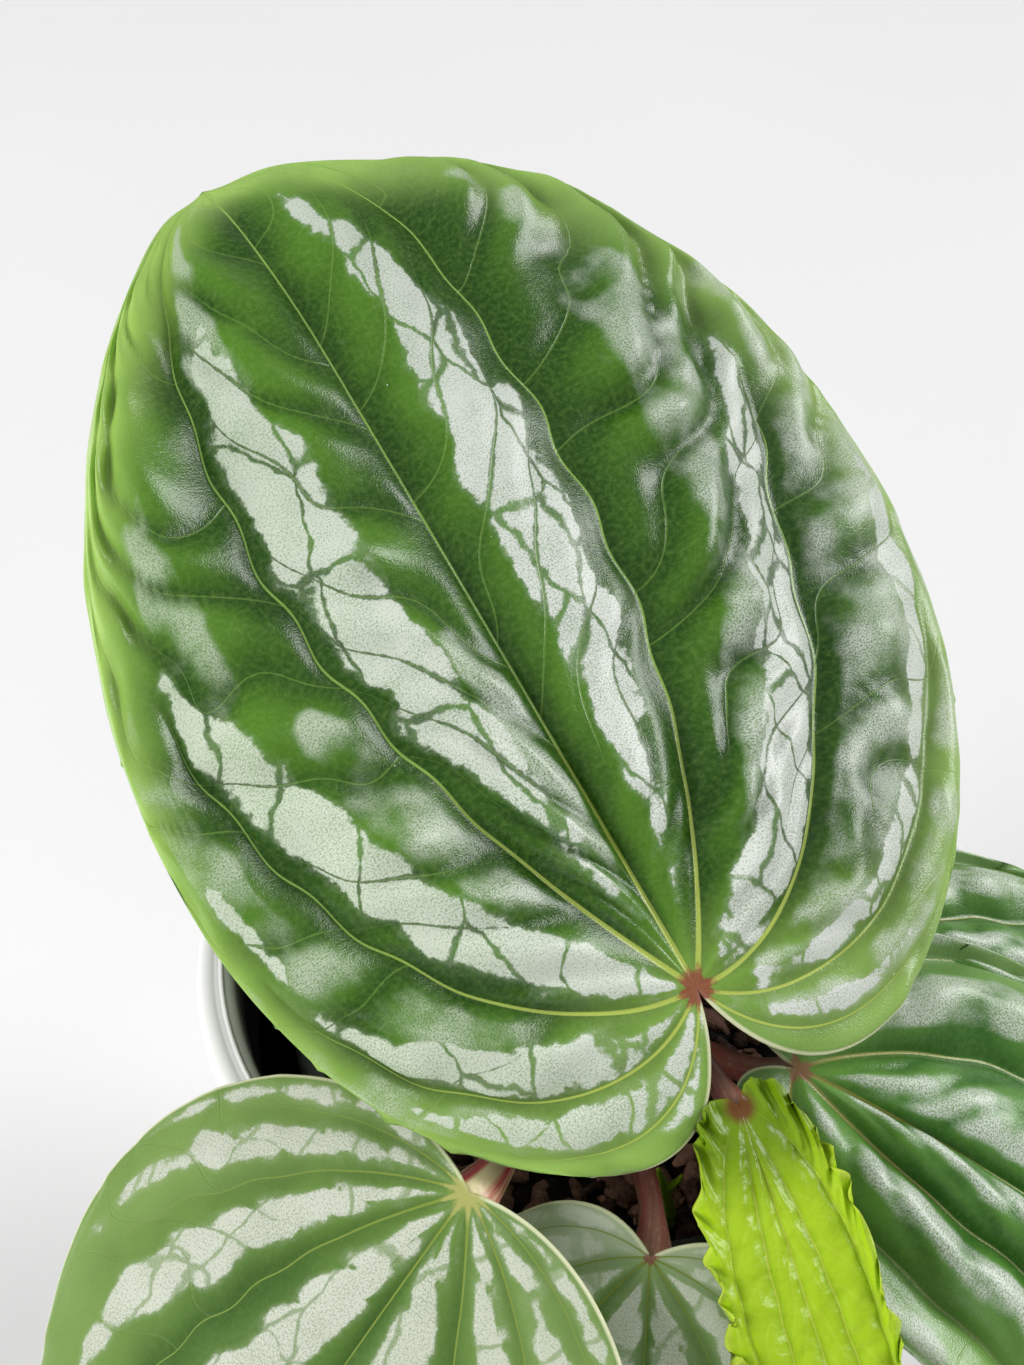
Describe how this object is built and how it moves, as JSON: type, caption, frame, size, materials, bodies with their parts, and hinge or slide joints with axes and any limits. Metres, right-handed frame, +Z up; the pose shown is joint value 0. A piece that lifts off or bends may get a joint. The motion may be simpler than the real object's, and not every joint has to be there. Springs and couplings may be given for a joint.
{
  "type": "potted peperomia",
  "caption": "Potted peperomia: heart-shaped, deep-veined leaves on fleshy stalks in bark soil, in a black nursery pot inside a plain white cachepot.",
  "frame": {"origin": "centre of the cachepot's flat base, on the surface that the pot stands on", "axes": "+Z up out of the pot; -Y is the front, where the camera stands; +X is right as seen from the front"},
  "size_m": [0.1689, 0.186, 0.193],
  "materials": {
    "glaze": "smooth white satin glaze",
    "pot_plastic": "thin black nursery-pot plastic, a little dusty at the rim",
    "bark": "loose potting bark and peat, matte",
    "stem": "living fleshy stalk, satin, reddish brown",
    "leaf": "living leaf, waxy satin, deep green with silver bands",
    "young_leaf": "young living leaf, glossy, bright lime green"
  },
  "bodies": {
    "root": {"cachepot": "glaze", "nursery_pot": "pot_plastic", "soil": "bark", "crown": "stem", "leaf_1_stalk": "stem", "leaf_1_blade": "leaf", "leaf_2_stalk": "stem", "leaf_2_blade": "leaf", "leaf_3_stalk": "stem", "leaf_3_blade": "leaf", "leaf_4_stalk": "stem", "leaf_4_blade": "leaf", "leaf_5_stalk": "stem", "leaf_5_blade": "leaf", "leaf_6_stalk": "stem", "leaf_6_blade": "leaf", "leaf_7_stalk": "stem", "leaf_7_blade": "leaf", "leaf_8_stalk": "stem", "leaf_8_blade": "leaf", "new_leaf_stalk": "stem", "new_leaf_blade": "young_leaf", "sprout": "young_leaf"}
  },
  "joints": []
}
